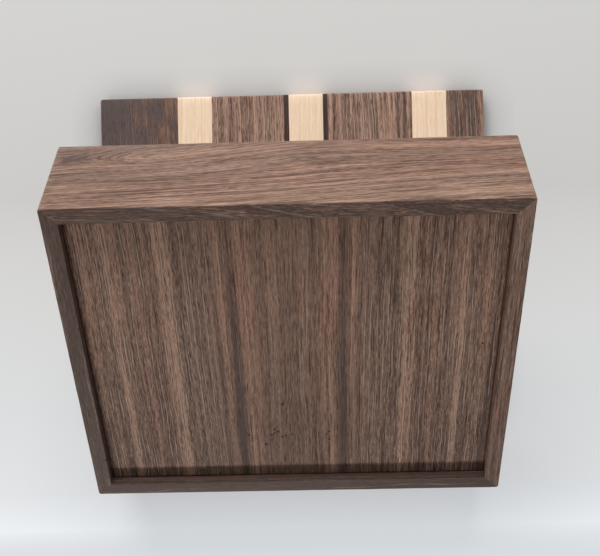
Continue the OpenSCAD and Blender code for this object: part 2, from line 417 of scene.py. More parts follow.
def walnut_material(
    name, turn, start, tone=None, bend=None, marks=None, ground=WHITE, base=0.5, bands=0.5, lines=0.6,
    streaks=0.3, hairs=0.7, fibres=1.0, grit=0.9, pores=0.8, slate=0.5, specular=WALNUT_SPECULAR, **grain
):
    """Oiled walnut. tone adds the board's own bands to the even grain, and painted light and shade on the panel
    and the walls' inner faces; bend gives its figure; the blemishes come last, and on the panel painted shade by
    the walls; ground tints it between the light bands."""
    walnut, _ = colours()
    material, tree, shader = new_material(name, WALNUT_ROUGHNESS, specular)
    plain = board_vector(tree, turn, start)
    out = use_group(tree, "Wood grain", {"Vector": bend(tree, plain) if bend else plain, **grain})
    shade = plus(tree, tone(tree, plain, out) if tone else 0.0, base)
    shade = spread(tree, out["Lines"], lines, spread(tree, out["Bands"], bands, shade))
    cool = remap(tree, shade, COOL_FROM, COOL_TO, smooth=True)
    warm = remap(tree, shade, WARM_FROM, WARM_TO, smooth=True)
    shade = spread(tree, out["Grit"], grit, spread(tree, out["Fibres"], fibres, shade))
    shade = minus(tree, shade, times(tree, out["Streaks"], streaks))
    colour = ramp(tree, shade, ((0.0, walnut.dark), (0.5, walnut.middle), (1.0, walnut.light)), "LINEAR")
    blush = blend_colour(tree, remap(tree, out["Blush"], 0.35, 0.65), walnut.tan_tint, walnut.rose_tint)
    for tint in (blush, blend_colour(tree, warm, ground, WHITE)):
        colour = blend_colour(tree, 1.0, colour, tint, "MULTIPLY")
    rosy = blend_colour(tree, 1.0, colour, walnut.rose_tint, "MULTIPLY")
    colour = blend_colour(tree, times(tree, warm, ROSE_SHARE), colour, rosy)
    colour = blend_colour(tree, times(tree, cool, slate), colour, walnut.slate)
    if callable(hairs):
        hairs = hairs(tree, plain)
    for mask, share, cover in (
        ("Cracks", hairs, walnut.dark), ("Hairs", hairs, walnut.hair), ("Pores", pores, walnut.pore)
    ):
        colour = blend_colour(tree, times(tree, out[mask], share), colour, cover)
    if marks:
        colour = marks(tree, plain, colour)
    feed(tree, shader.inputs["Base Color"], colour)
    feed(tree, shader.inputs["Roughness"], spread(tree, out["Fibres"], 0.3, WALNUT_ROUGHNESS))
    height = calc(tree, "MULTIPLY_ADD", out["Pores"], -1.0, times(tree, out["Fibres"], 0.5))
    add_relief(tree, shader, height, 0.5, WALNUT_RELIEF)
    return material


# Tone of the panel's veneer against the distance from its seam in millimetres; the two halves mirror
# each other, as two leaves cut from one flitch do
VENEER = (
    (0, 0.01), (8, 0.01), (13, 0.02), (19, -0.02), (21, 0.0), (22.5, 0.12), (28, 0.20), (31, 0.15),
    (33, -0.03), (36.5, -0.31), (40, -0.08), (43.5, 0.14), (47, 0.0), (51, -0.02), (53, 0.09), (62, -0.02),
    (68, 0.02), (74.5, -0.04), (76.5, 0.15), (81, 0.28), (84, 0.20), (86.5, 0.02), (91, -0.06), (94, -0.12),
    (97, -0.03), (100, 0.05), (105, -0.04), (110, 0.0), (117, 0.17), (121, -0.02), (131, 0.08), (139, -0.10),
)
VENEER_REACH, VENEER_SEAM = 142.0, -1.75
# How far apart the two leaves lie in the grain, in millimetres
LEAVES_APART = 40.0
# Tone of the veneer at its front and back ends, a painted light and shade, lighter at the front and darker at the
# back; and of a dull patch: place along, width and length
FRONT_END_PAINTED_LIGHT, BACK_END_PAINTED_SHADE, END_AT = 0.17, -0.045, 110.0
PATCH_TONE, PATCH_ALONG, PATCH_WIDTH, PATCH_LENGTH = -0.06, 70.0, 26.0, 30.0
# Distances from the seam between which the grain grows lively, and how lively and how curled it gets
LIVELY_FROM, LIVELY_TO, LIVELY, LIVELY_CURL, CURL_CELL = 38.0, 72.0, 0.4, 0.32, (6.0, 12.0, 6.0)
# Distances from the seam between which the pale hairs grow more, and their share there
HAIRS_FROM, HAIRS_TO, HAIRS = 18.0, 75.0, 0.75
# Bruises in the panel's underside: place across and along, and width, all in metres
BRUISES = (
    (-0.0086, 0.0450, 0.0017), (-0.0154, 0.0702, 0.0014), (-0.0135, 0.0677, 0.0011),
    (-0.0175, 0.0758, 0.0015), (-0.0152, 0.0741, 0.0014), (-0.0128, 0.0725, 0.0016),
    (-0.0098, 0.0779, 0.0016), (-0.0076, 0.0769, 0.0014), (-0.0028, 0.0758, 0.0012),
    (-0.0221, 0.0854, 0.0017), (-0.0345, 0.0754, 0.0017), (-0.0362, 0.0729, 0.0011),
    (0.0249, 0.0732, 0.0014), (0.0230, 0.0761, 0.0012), (0.0247, 0.0815, 0.0014),
    (0.1300, -0.0090, 0.0014),
)
# Painted shade where the panel goes into the walls: width and waver in millimetres; waver of the bruises'
# rims; and how dark both are
JOIN_SHADE_WIDTH, JOIN_SHADE_CELL, BRUISE_CELL, MARK_AND_SHADE_SHARE = 2.2, (6.0, 6.0, 6.0), (0.9, 1.6, 0.9), 0.85


def veneer_fold(tree, vector):
    """Mirrors the grain at the seam, and curls it in the outer thirds."""
    x, y, z = split_xyz(tree, vector)
    offset = minus(tree, x, VENEER_SEAM)
    leaf = calc(tree, "MULTIPLY_ADD", calc(tree, "GREATER_THAN", offset, 0.0), LEAVES_APART, z)
    distance = calc(tree, "ABSOLUTE", offset)
    wave = noise(tree, stretch(tree, distance, y, leaf, *CURL_CELL), detail=1.0)
    curl = sway(tree, wave, remap(tree, distance, LIVELY_FROM, LIVELY_TO, 0.0, LIVELY_CURL))
    return join_xyz(tree, plus(tree, distance, curl), y, leaf)


def veneer_hairs(tree, vector):
    """Share of the pale hairs: none by the seam, most in the outer thirds."""
    distance = calc(tree, "ABSOLUTE", split_xyz(tree, vector)[0])
    return remap(tree, distance, HAIRS_FROM, HAIRS_TO, 0.0, HAIRS)


def veneer_tone_and_shade(tree, vector, out):
    """Book-matched bands, mirrored at the seam, a dull patch, and painted light and shade from the front end to
    the back.
    """
    x, y, _ = split_xyz(tree, vector)
    patch = times(tree, bell(tree, x, 0.0, PATCH_WIDTH), bell(tree, y, PATCH_ALONG, PATCH_LENGTH))
    tone = calc(tree, "MULTIPLY_ADD", patch, PATCH_TONE, graded(tree, out["Flow"], VENEER_REACH, VENEER))
    # painted light and shade: the veneer lighter towards its front end and darker towards its back end
    tone = plus(tree, tone, remap(tree, y, -END_AT, END_AT, FRONT_END_PAINTED_LIGHT, BACK_END_PAINTED_SHADE))
    lively = remap(tree, calc(tree, "ABSOLUTE", x), LIVELY_FROM, LIVELY_TO, 0.0, LIVELY)
    tone = spread(tree, out["Lines"], times(tree, lively, 0.35), tone)
    return spread(tree, out["Grit"], times(tree, lively, 1.3), tone)


def veneer_marks_and_shade(tree, vector, colour):
    """Bruises, and painted shade along the edges where the panel goes into the walls."""
    walnut, _ = colours()
    x, y, z = split_xyz(tree, vector)
    rough = noise(tree, stretch(tree, x, y, z, *BRUISE_CELL), detail=1.0)
    bruises_and_shade = 0.0
    for place_x, place_y, width in BRUISES:
        inputs = {0: vector, 1: (place_x * MM, place_y * MM, 0.0)}
        gap = new_node(tree, "ShaderNodeVectorMath", inputs, operation="DISTANCE").outputs["Value"]
        gap = plus(tree, calc(tree, "DIVIDE", gap, width * MM), sway(tree, rough, 0.3))
        bruises_and_shade = calc(tree, "MAXIMUM", bruises_and_shade, remap(tree, gap, 0.85, 0.45))
    # painted shade along the walls, darkest where the panel goes into them
    side = minus(tree, calc(tree, "ABSOLUTE", x), INNER_X * MM)
    end = minus(tree, calc(tree, "ABSOLUTE", y), INNER_Y * MM)
    slow = noise(tree, stretch(tree, x, y, z, *JOIN_SHADE_CELL), detail=2.0)
    join_shade = plus(tree, calc(tree, "MAXIMUM", side, end), sway(tree, slow, 0.35))
    bruises_and_shade = calc(tree, "MAXIMUM", bruises_and_shade, remap(tree, join_shade, -JOIN_SHADE_WIDTH, -0.3 * JOIN_SHADE_WIDTH, smooth=True))
    return blend_colour(tree, times(tree, bruises_and_shade, MARK_AND_SHADE_SHARE), colour, walnut.pore)


# Look of the panel: what walnut_material takes, and inputs of the grain
VENEER_LOOK = {
    "tone": veneer_tone_and_shade, "bend": veneer_fold, "marks": veneer_marks_and_shade, "hairs": veneer_hairs,
    "ground": (0.99, 1.03, 1.045), "specular": 0.05, "base": 0.42, "bands": 0.15, "lines": 0.62,
    "fibres": 0.62, "grit": 0.9, "pores": 0.9, "Wander": 0.9, "Curl": 0.1, "Ring tilt": 0.0,
    "Line width": 2.4, "Fibre width": 1.2, "Fibre length": 110.0, "Pore length": 13.0, "Pore width": 0.4,
    "Pore share": 0.5, "Hair gap": 4.0,
}


# Figure of the front wall, in millimetres along it and up from its lower edge: a knot, and a long crest
KNOT_ALONG, KNOT_UP, KNOT_SIZE, KNOT_REACH = 13.0, 59.0, 10.0, 30.0
KNOT_TONE, KNOT_LENGTH, KNOT_HEIGHT = -0.42, 11.0, 5.0
FIGURE_RISE, CREST, CREST_ALONG, CREST_WIDTH, CREST_FROM, CREST_TO = 0.079, 10.0, 165.0, 75.0, 30.0, 60.0
# Tone of the front wall across its figure, in millimetres from the lower edge at the left
FRONT_TONES = (
    (0, 0.04), (6, -0.05), (9, 0.05), (12.5, 0.02), (14, -0.12), (15.5, 0.03), (21, 0.05), (22.5, -0.20),
    (24.5, 0.02), (29, -0.03), (33, 0.04), (35.5, 0.03), (37, -0.18), (39, 0.03), (44, 0.08), (49, -0.05),
    (54, 0.03), (60, -0.04),
)
FRONT_REACH, FRONT_SHARE = 66.0, 0.6
# Heights between which the front wall grows lively towards its lower edge, and how lively it is
FIBRES_FROM, FIBRES_TO, FIBRES_LEAST, FIBRES_MOST = 48.0, 26.0, 0.15, 1.1
# Tone of the wall's end beside the knot, and how far it reaches
KNOT_END_TONE, KNOT_END_REACH = -0.08, 130.0


def front_figure(tree, vector):
    """Straight lines at the lower edge, a long crest over them and a swirl round a knot at the left."""
    up, along, depth = split_xyz(tree, vector)
    above = minus(tree, up, KNOT_UP)
    near = bell(tree, along, KNOT_ALONG, KNOT_REACH)
    swirl = calc(tree, "SQRT", calc(tree, "MULTIPLY_ADD", near, KNOT_SIZE ** 2, square(tree, above)))
    level = calc(tree, "MULTIPLY_ADD", calc(tree, "SIGN", above), swirl, KNOT_UP)
    high = remap(tree, up, CREST_FROM, CREST_TO, 0.0, CREST, smooth=True)
    crest = bell(tree, along, CREST_ALONG, CREST_WIDTH)
    level = minus(tree, level, times(tree, along, FIGURE_RISE))
    level = minus(tree, level, times(tree, crest, high))
    return join_xyz(tree, level, along, depth)


def front_tone_and_lip_shade(tree, vector, out):
    """Dark lines along the figure, the knot, the darker lower edge and the painted shade on the inner face under
    the panel.
    """
    up, along, _ = split_xyz(tree, vector)
    lines = times(tree, graded(tree, out["Flow"], FRONT_REACH, FRONT_TONES), FRONT_SHARE)
    knot = bell(tree, along, KNOT_ALONG, KNOT_LENGTH)
    knot = times(tree, knot, bell(tree, up, KNOT_UP, KNOT_HEIGHT))
    lively = remap(tree, up, FIBRES_FROM, FIBRES_TO, FIBRES_LEAST, FIBRES_MOST)
    tone = plus(tree, lines, foot_dark_and_lip_shade(tree, FOOT_AND_LIP_SHADE_TONES["front_wall"]))
    tone = spread(tree, out["Fibres"], lively, tone)
    tone = spread(tree, out["Lines"], times(tree, lively, 0.2), tone)
    tone = plus(tree, tone, remap(tree, along, 0.0, KNOT_END_REACH, KNOT_END_TONE, 0.0))
    return calc(tree, "MULTIPLY_ADD", knot, KNOT_TONE, tone)


# Old stain on the front wall's lower edge, in millimetres: place along, up and through the wall, its
# width and its size the other two ways; and how strong it is
STAIN_ALONG, STAIN_UP, STAIN_DEPTH, STAIN_WIDTH, STAIN_SIZE, STAIN_STRENGTH = 130.5, -1.0, 3.7, 2.6, 2.0, 0.5


def front_marks(tree, vector, colour):
    """The stain on the lower edge."""
    walnut, _ = colours()
    up, along, depth = split_xyz(tree, vector)
    stain = bell(tree, along, STAIN_ALONG, STAIN_WIDTH)
    for value, middle in ((up, STAIN_UP), (depth, STAIN_DEPTH)):
        stain = times(tree, stain, bell(tree, value, middle, STAIN_SIZE))
    return blend_colour(tree, times(tree, stain, STAIN_STRENGTH), colour, walnut.stain)


# Height over the lower edge, in millimetres, up to which a wall is darker, and by how much; the same amount sets
# the painted shade on its inner face under the panel
FOOT_FROM, FOOT_TO = 0.1, 0.7
FOOT_AND_LIP_SHADE_TONES = {"front_wall": -0.40, "back_wall": -0.54, "left_wall": -0.42, "right_wall": 0.0}
# Height of the walls' inner faces under the panel, which get painted shade, how dark they are beside the lower
# edges, and the distances from those faces, in the wood, between which the painted shade fades in
LIP_HEIGHT, LIP_SHADE_SHARE, LIP_FROM, LIP_TO = 7.5, 0.8, -0.6, -0.1


def foot_dark_and_lip_shade(tree, amount):
    """Lower edges darker, and painted shade on the walls' inner faces under the panel."""
    x, y, z = (times(tree, value, MM) for value in split_xyz(tree, object_place(tree)))
    foot = remap(tree, z, FOOT_TO, FOOT_FROM)
    inner_x, inner_y = (
        minus(tree, half * MM, calc(tree, "ABSOLUTE", value))
        for half, value in ((INNER_X, x), (INNER_Y, y))
    )
    # painted shade on the walls' inner faces under the panel
    inner = remap(tree, calc(tree, "MINIMUM", inner_x, inner_y), LIP_FROM, LIP_TO)
    lip_shade = times(tree, inner, calc(tree, "LESS_THAN", z, LIP_HEIGHT))
    lip_shade = times(tree, lip_shade, LIP_SHADE_SHARE)
    return times(tree, calc(tree, "MAXIMUM", foot, lip_shade), amount)


def plain_tone_and_lip_shade(node):
    """Tone of a wall that has no figure of its own: its darker lower edge and the painted shade on its inner face
    under the panel.
    """
    return lambda tree, vector, out: foot_dark_and_lip_shade(tree, FOOT_AND_LIP_SHADE_TONES[node])


# Look of the walls, and what the front wall has of its own
WALL_LOOK = {
    "base": 0.54, "streaks": 0.4, "hairs": 0.3, "slate": 0.35, "Wander": 0.8, "Curl": 0.12,
    "Hair gap": 4.0, "Hair width": 0.3, "Streak length": 60.0, "Fibre length": 75.0, "Pore length": 12.0,
    "Pore width": 0.4, "Pore share": 0.5,
}
FRONT_LOOK = {"tone": front_tone_and_lip_shade, "bend": front_figure, "marks": front_marks, "bands": 0.15, "pores": 1.0}
# Heartwood of the lid's left board: size of its clouds, and its tone at the edge and at the maple
CLOUD_CELL, EDGE_AT, EDGE_TONE, MAPLE_AT, MAPLE_TONE = (13.0, 24.0, 13.0), -155.0, -0.60, -98.0, -0.24


def dark_side_tone(tree, vector, out):
    """Grey-blue heartwood at the lid's left side, browner towards the maple."""
    x, y, z = split_xyz(tree, vector)
    cloud = noise(tree, stretch(tree, x, y, z, *CLOUD_CELL), detail=1.0)
    return spread(tree, cloud, 0.5, remap(tree, x, EDGE_AT, MAPLE_AT, EDGE_TONE, MAPLE_TONE))


# Look of the lid's walnut boards, and what each has of its own
LID_LOOK = {"base": 0.62, "bands": 0.6, "lines": 1.2, "slate": 0.85, "Curl": 0.25}
LID_LOOKS = {
    "lid_walnut_1": {
        "tone": dark_side_tone, "lines": 0.4, "streaks": 0.2, "hairs": 0.25, "fibres": 0.6, "bands": 0.3,
        "slate": 0.9,
    },
    "lid_walnut_2": {"base": 0.67, "lines": 1.3, "fibres": 1.7, "pores": 1.0},
    "lid_walnut_3": {"base": 0.61, "bands": 0.2, "lines": 1.8, "fibres": 1.7, "pores": 1.0},
    "lid_walnut_4": {"base": 0.38, "bands": 0.3, "fibres": 1.3},
}
MAPLE_GRAIN = {"Wander": 1.0, "Curl": 0.1, "Line width": 2.0, "Pore width": 0.7, "Pore length": 3.0}
# What darkens the maple: a mask of the grain, its range and its share
MAPLE_MARKS = (("Lines", 0.45, 0.75, 0.4), ("Fibres", 0.42, 0.62, 0.3), ("Grit", 0.4, 0.65, 0.25))
MAPLE_RELIEF = 0.00005
# Shades of the dark strips' own colour in their darkest and lightest fibres
DARKEST, LIGHTEST = 0.6, 1.8


def maple_material(name, turn, start, seed):
    """Oiled maple with faint growth lines and flecks."""
    _, pale = colours()
    material, tree, shader = new_material(name, 0.42, specular=0.3)
    vector = board_vector(tree, turn, start)
    out = use_group(tree, "Wood grain", {"Vector": vector, "Seed": seed, **MAPLE_GRAIN})
    colour = pale.maple
    for mask, low, high, share in MAPLE_MARKS:
        mark = remap(tree, out[mask], low, high, smooth=mask == "Lines")
        colour = blend_colour(tree, times(tree, mark, share), colour, pale.maple_line)
    feed(tree, shader.inputs["Base Color"], colour)
    add_relief(tree, shader, out["Fibres"], 0.3, MAPLE_RELIEF)
    return material


def dark_wood_material(name, turn, start, seed):
    """Near-black wood, even but for its fibres."""
    _, pale = colours()
    material, tree, shader = new_material(name, 0.55, specular=0.12)
    out = use_group(tree, "Wood grain", {"Vector": board_vector(tree, turn, start), "Seed": seed})
    dark, light = (tuple(share * part for part in pale.dark_wood) for share in (DARKEST, LIGHTEST))
    colour = blend_colour(tree, remap(tree, out["Fibres"], 0.35, 0.65), dark, light)
    feed(tree, shader.inputs["Base Color"], colour)
    return material


# Spots of the brass in a metre
BRASS_SPOTS = 400.0


def brass_material(name):
    """Brass with duller and darker spots."""
    _, pale = colours()
    material, tree, shader = new_material(name, 0.3)
    shader.inputs["Metallic"].default_value = 1.0
    inputs = {0: object_place(tree), "Scale": BRASS_SPOTS}
    place = new_node(tree, "ShaderNodeVectorMath", inputs, operation="SCALE").outputs[0]
    spots = noise(tree, place, detail=3.0)
    colour = blend_colour(tree, spots, tuple(0.8 * part for part in pale.brass), pale.brass)
    feed(tree, shader.inputs["Base Color"], colour)
    feed(tree, shader.inputs["Roughness"], remap(tree, spots, 0.3, 0.7, 0.22, 0.4))
    return material


LID_GRAIN = (0.0, math.cos(LID_ANGLE), -math.sin(LID_ANGLE))
PANEL_TURN = board_turn((1, 0, 0), (0, 1, 0))
LONG_WALL_TURN = board_turn((0, 0, 1), (1, 0, 0))
SIDE_WALL_TURN = board_turn((0, 0, 1), (0, 1, 0))
LID_TURN = board_turn((1, 0, 0), LID_GRAIN)

# Blender's names for what pick() can select
MODES = {"verts": "VERT", "edges": "EDGE", "faces": "FACE"}
# What counts as the same place, in metres
NEAR = 1e-6
# Turn that lays an upright rod along X
ALONG_X = (0.0, math.radians(90.0), 0.0)


def axis_vector(axis, length=1.0):
    vector = Vector((0.0, 0.0, 0.0))
    vector[axis] = length
    return vector


def add_block(name, low, high):
    """Block between two corners, alone in the selection."""
    bpy.ops.object.select_all(action="DESELECT")
    low, high = Vector(low), Vector(high)
    bpy.ops.mesh.primitive_cube_add(size=1, location=(low + high) / 2, scale=high - low)
    return settle(name)


def add_rod(name, middle, radius, length, turn=(0.0, 0.0, 0.0), sides=48):
    """Upright rod, or turned, alone in the selection."""
    bpy.ops.object.select_all(action="DESELECT")
    bpy.ops.mesh.primitive_cylinder_add(
        vertices=sides, radius=radius, depth=length, location=middle, rotation=turn
    )
    return settle(name)


def settle(name):
    """Names the new primitive and moves its place, turn and size into its mesh."""
    piece = bpy.context.object
    piece.name = name
    bpy.ops.object.transform_apply(location=True, rotation=True, scale=True)
    return piece


def choose(piece):
    """Makes a piece the active one, alone in the selection."""
    bpy.ops.object.select_all(action="DESELECT")
    piece.select_set(True)
    bpy.context.view_layer.objects.active = piece


def open_mesh(piece):
    choose(piece)
    bpy.ops.object.mode_set(mode="EDIT")


def close_mesh():
    bpy.ops.object.mode_set(mode="OBJECT")


def pick(kind, test):
    """Selects the open mesh's vertices, edges or faces that pass the test; returns how many there are."""
    bpy.ops.mesh.select_mode(type=MODES[kind])
    bpy.ops.mesh.select_all(action="DESELECT")
    piece = bpy.context.object
    mesh = bmesh.from_edit_mesh(piece.data)
    chosen = [element for element in getattr(mesh, kind) if test(element)]
    for element in chosen:
        element.select_set(True)
    mesh.select_flush_mode()
    bmesh.update_edit_mesh(piece.data)
    return len(chosen)


def slice_mesh(place, normal, trim=False):
    """Cuts the whole open mesh along a plane; trim removes what lies past it and closes the cut."""
    bpy.ops.mesh.select_all(action="SELECT")
    bpy.ops.mesh.bisect(plane_co=place, plane_no=normal, use_fill=trim, clear_outer=trim, threshold=NEAR)


def slice_at(axis, place):
    slice_mesh(axis_vector(axis, place), axis_vector(axis))


def round_edges(test, radius, segments):
    if pick("edges", test):
        bpy.ops.mesh.bevel(offset=radius, segments=segments, affect="EDGES")


def all_at(axis, place):
    """Test for elements that lie wholly in a plane across an axis."""
    return lambda element: all(abs(vertex.co[axis] - place) < 10 * NEAR for vertex in element.verts)


def smooth(piece, degrees=35):
    choose(piece)
    bpy.ops.object.shade_smooth_by_angle(angle=math.radians(degrees))


def apply_modifier(piece, kind, **fields):
    modifier = piece.modifiers.new(kind.title(), kind)
    for name, value in fields.items():
        setattr(modifier, name, value)
    choose(piece)
    bpy.ops.object.modifier_apply(modifier=modifier.name)


def cut_away(piece, cutter):
    """Cuts the cutter's shape out of the piece, and removes the cutter."""
    apply_modifier(piece, "BOOLEAN", object=cutter, operation="DIFFERENCE", solver="EXACT")
    bpy.data.objects.remove(cutter)


def in_rounding(vertex):
    """True inside a rounded edge, where no face lies square to the board."""
    return all(max(abs(part) for part in face.normal) < 0.995 for face in vertex.link_faces)


def wear_edges(low, high, axis, seed, keep=None):
    """Makes the open board's rounded edges a little uneven, but for the vertices to keep."""
    sizes = bpy.context.scene.keepsake_sizes
    steps = int((high - low) / sizes.wear_step)
    for step in range(1, steps):
        slice_at(axis, low + step * (high - low) / steps)
    corners = [vertex.co.copy() for vertex in bmesh.from_edit_mesh(bpy.context.object.data).verts]
    if pick("verts", lambda vertex: in_rounding(vertex) and not (keep and keep(vertex))):
        bpy.ops.transform.vertex_random(offset=sizes.wear, seed=seed, wait_for_input=False)
    for side in range(3):
        places = [corner[side] for corner in corners]
        press_back(side, min(places), -1)
        press_back(side, max(places), 1)


def press_back(axis, place, way):
    """Flattens what stands out past a plane on to it."""
    if pick("verts", lambda vertex: (vertex.co[axis] - place) * way > 0.0):
        value = Vector((1.0, 1.0, 1.0)) - axis_vector(axis)
        bpy.ops.transform.resize(value=value, center_override=axis_vector(axis, place))


# How far a chip reaches from its corner line, in the radii of the edge, and where beside it the board's
# faces are cut, in the chip's reach, so that they stay flat under the smooth shading
NICK_REACH, NICK_CUTS = 1.2, (1.6, 2.2)


def nick(along, place, width, corner, push):
    """Chips the open board's edge: pushes its vertices near a corner line in, at one place along it."""
    for share in (-1 / 2, -1 / 6, 1 / 6, 1 / 2):
        slice_at(along, place + share * width)
    near = bpy.context.scene.keepsake_sizes.wall_ease * NICK_REACH
    others = [axis for axis in range(3) if axis != along]
    for axis in others:
        for share in NICK_CUTS:
            slice_at(axis, corner[axis] + math.copysign(share * near, push[axis]))

    def in_nick(vertex):
        if abs(vertex.co[along] - place) > width / 4:
            return False
        return all(abs(vertex.co[axis] - corner[axis]) < near for axis in others)

    if pick("verts", in_nick):
        bpy.ops.transform.translate(value=push)


def stand_for(piece, node, material):
    """Puts a modelled piece in the place of its CAD node."""
    piece.data.materials.clear()
    piece.data.materials.append(material)
    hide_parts(node)
    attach(piece, BODY_OF[node])


# Turn of each wall about Z from the front, in quarters of a turn
WALL_QUARTERS = {"front_wall": 0, "right_wall": 1, "back_wall": 2, "left_wall": 3}
# Facets of a rounded upright corner on either side of its mitre
CORNER_FACETS = 3
# Chips on the walls' lower inner edges: place along the wall from its middle, width, and depth in metres
CHIPS = {
    "left_wall": ((-0.0920, 0.0030, 0.0006), (0.0350, 0.0016, 0.0003)),
    "back_wall": ((-0.1180, 0.0028, 0.0003),),
    "right_wall": ((-0.0850, 0.0018, 0.0004), (0.0530, 0.0020, 0.0003)),
    "front_wall": ((0.0480, 0.0020, 0.0003),),
}


def make_wall(node):
    """Mitred board with its edges and groove, modelled in front and turned to its own side."""
    sizes = bpy.context.scene.keepsake_sizes
    low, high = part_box(node)
    size = high - low
    along = 0 if size.x > size.y else 1
    half = -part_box("front_wall" if along else "left_wall")[0][along]
    outer = max(abs(low[1 - along]), abs(high[1 - along]))
    inner = size[1 - along] - outer
    wall = add_block(node + "_board", (-half, -outer, 0.0), (half, inner, size.z))
    open_mesh(wall)
    panel_low, panel_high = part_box("bottom_panel")
    groove_from, groove_to = panel_low.z, panel_high.z + sizes.panel_play
    for level in (groove_from, groove_to):
        slice_at(2, level)
    depth = panel_high[1 - along] + sizes.panel_gap + inner

    def groove_strip(face):
        return all_at(1, inner)(face) and groove_from < face.calc_center_median().z < groove_to

    pick("faces", groove_strip)
    bpy.ops.mesh.extrude_region_move(TRANSFORM_OT_translate={"value": (0.0, -depth, 0.0)})
    for end in (-1, 1):
        slice_mesh((end * (half - sizes.joint_gap), -outer, 0.0), (end, 1.0, 0.0), trim=True)
        middle = Vector((end * (half - sizes.corner_ease), sizes.corner_ease - outer, 0.0))
        for facet in range(CORNER_FACETS):
            angle = math.radians(45.0) * (facet + 0.5) / CORNER_FACETS
            normal = Vector((end * math.sin(angle), -math.cos(angle), 0.0))
            slice_mesh(middle + normal * sizes.corner_ease, normal, trim=True)

    def in_mitre(vertex):
        return abs(abs(vertex.co.x) + vertex.co.y - (half - sizes.joint_gap - outer)) < 10 * NEAR

    def rim_edge(edge):
        if all(in_mitre(vertex) for vertex in edge.verts):
            return False
        return all_at(2, 0.0)(edge) or all_at(2, size.z)(edge)

    round_edges(rim_edge, sizes.wall_ease, 3)
    wear_edges(-half, half, 0, WALL_QUARTERS[node], keep=in_mitre)
    for place, width, chip in CHIPS[node]:
        nick(0, place, width, (0.0, inner, 0.0), (0.0, -chip, chip))
    close_mesh()
    wall.data.transform(Matrix.Rotation(math.radians(90.0) * WALL_QUARTERS[node], 4, "Z"))
    return wall


# How far the pocket's cutter passes the hinge's axis, and the screws: length, pitch and number in a leaf
POCKET_OVER = 0.0013
SCREW_LENGTH, SCREW_PITCH, SCREWS = 0.0111, 0.013, 3


def hinge_cutters(leaf_node, mirrored=False):
    """Shapes to cut from the wood for a leaf: its pocket, the hollow under the knuckles and the holes."""
    sizes = bpy.context.scene.keepsake_sizes
    low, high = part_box(leaf_node)
    middle = (low.x + high.x) / 2
    half = (high.x - low.x) / 2 + sizes.pocket_gap
    pocket_low = (middle - half, low.y - sizes.pocket_gap, low.z)
    hollow, hole = sizes.barrel / 2 + sizes.turn_gap, sizes.shank / 2 + sizes.screw_gap
    cutters = [
        add_block("pocket", pocket_low, (middle + half, HINGE.y, HINGE.z + POCKET_OVER)),
        add_rod("hollow", (middle, HINGE.y, HINGE.z), hollow, 2 * half, ALONG_X),
    ]
    for place in screw_places(leaf_node):
        cutters.append(add_rod("hole", place - axis_vector(2, SCREW_LENGTH / 2), hole, SCREW_LENGTH))
    if mirrored:
        for cutter in cutters:
            cutter.data.transform(MIRROR)
            cutter.data.flip_normals()
    return cutters


def cut_leaves(piece, low_x, high_x, mirrored=False):
    """Cuts from a board what the leaves that lie between two places along the hinges' axis need."""
    for leaf in BOX_LEAVES:
        leaf_low, leaf_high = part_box(leaf)
        if leaf_high.x > low_x and leaf_low.x < high_x:
            for cutter in hinge_cutters(leaf, mirrored):
                cut_away(piece, cutter)


def screw_places(leaf_node):
    """Tops of the screw heads in a leaf of the box's side."""
    sizes = bpy.context.scene.keepsake_sizes
    low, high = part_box(leaf_node)
    y = (low.y + HINGE.y - sizes.barrel / 2 - sizes.turn_gap) / 2
    middle = (low.x + high.x) / 2
    offsets = (SCREW_PITCH * (index - (SCREWS - 1) / 2) for index in range(SCREWS))
    return [Vector((middle + offset, y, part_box("front_wall")[1].z)) for offset in offsets]


def swing(angle):
    """Turn about the hinges' axis that opens the lid by an angle."""
    return Matrix.Translation(HINGE) @ Matrix.Rotation(-angle, 4, "X") @ Matrix.Translation(-HINGE)


def extremes(places):
    """Lowest and highest corners of the box round some places."""
    places = list(places)
    return [Vector(extreme(place[axis] for place in places) for axis in range(3)) for extreme in (min, max)]


def closed_box(node):
    """Lowest and highest corners of one of the lid's nodes while the lid is closed."""
    return extremes(swing(-LID_ANGLE) @ vertex.co for vertex in frame["nodes"][node].data.vertices)


def make_strip(node, lid_low, lid_high, seed):
    """One strip of the lid, rounded where the lid's edge is and barely eased at its glue lines."""
    sizes = bpy.context.scene.keepsake_sizes
    low, high = closed_box(node)
    strip = add_block(node + "_strip", low, high)
    open_mesh(strip)
    sides = (lid_low.x, lid_high.x)
    ends = [place for place in (low.x, high.x) if any(abs(place - side) < 10 * NEAR for side in sides)]
    glued = [place for place in (low.x, high.x) if place not in ends]

    def at_lid_edge(edge):
        first, second = (vertex.co for vertex in edge.verts)
        return abs(first.x - second.x) > NEAR or any(all_at(0, place)(edge) for place in ends)

    round_edges(at_lid_edge, sizes.lid_ease, 4)
    round_edges(lambda edge: any(all_at(0, place)(edge) for place in glued), sizes.glue_ease, 1)
    wear_edges(low.y, high.y, 1, seed)
    close_mesh()
    return strip


# Radius of the panel's edges, and depth of its bruises
PANEL_EASE, BRUISE_DEPTH = 0.0004, 0.0004


